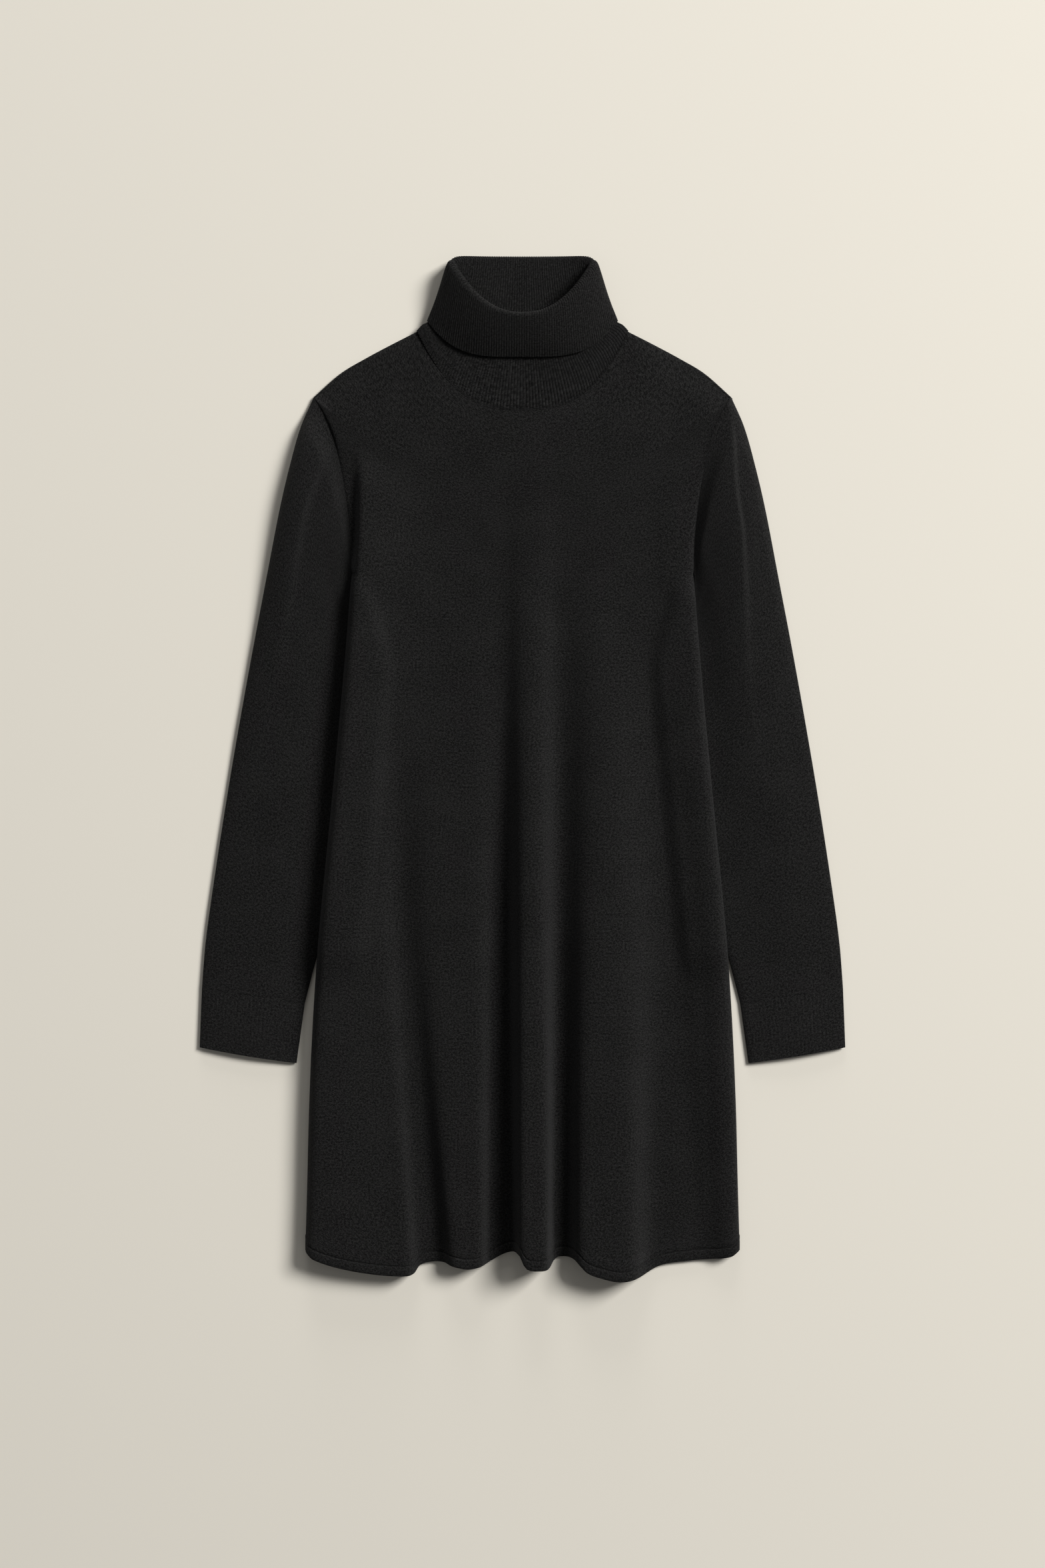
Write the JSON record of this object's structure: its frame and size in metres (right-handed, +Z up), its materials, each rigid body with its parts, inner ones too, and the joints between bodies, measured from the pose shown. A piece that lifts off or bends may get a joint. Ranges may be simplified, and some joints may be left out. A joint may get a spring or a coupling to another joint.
{
  "type": "sweater dress",
  "caption": "Black fine-knit sweater dress with a folded roll neck, long sleeves, ribbed cuffs and a flared skirt, laid flat on its back.",
  "frame": {"origin": "middle of the underside of the dress's box, on the surface that it lies on", "axes": "+X to the viewer's right across the dress, +Y up the dress from the hem to the neck, +Z up from the surface"},
  "size_m": [0.6088, 0.964, 0.0343],
  "materials": {
    "jersey_knit": "matt, softly brushed wool jersey",
    "rib_knit": "matt, fine ribbed wool knit"
  },
  "bodies": {
    "root": {"front_panel": "jersey_knit", "back_panel": "jersey_knit", "left_sleeve": "jersey_knit", "right_sleeve": "jersey_knit", "left_cuff": "rib_knit", "right_cuff": "rib_knit", "roll_collar": "rib_knit"}
  },
  "joints": []
}
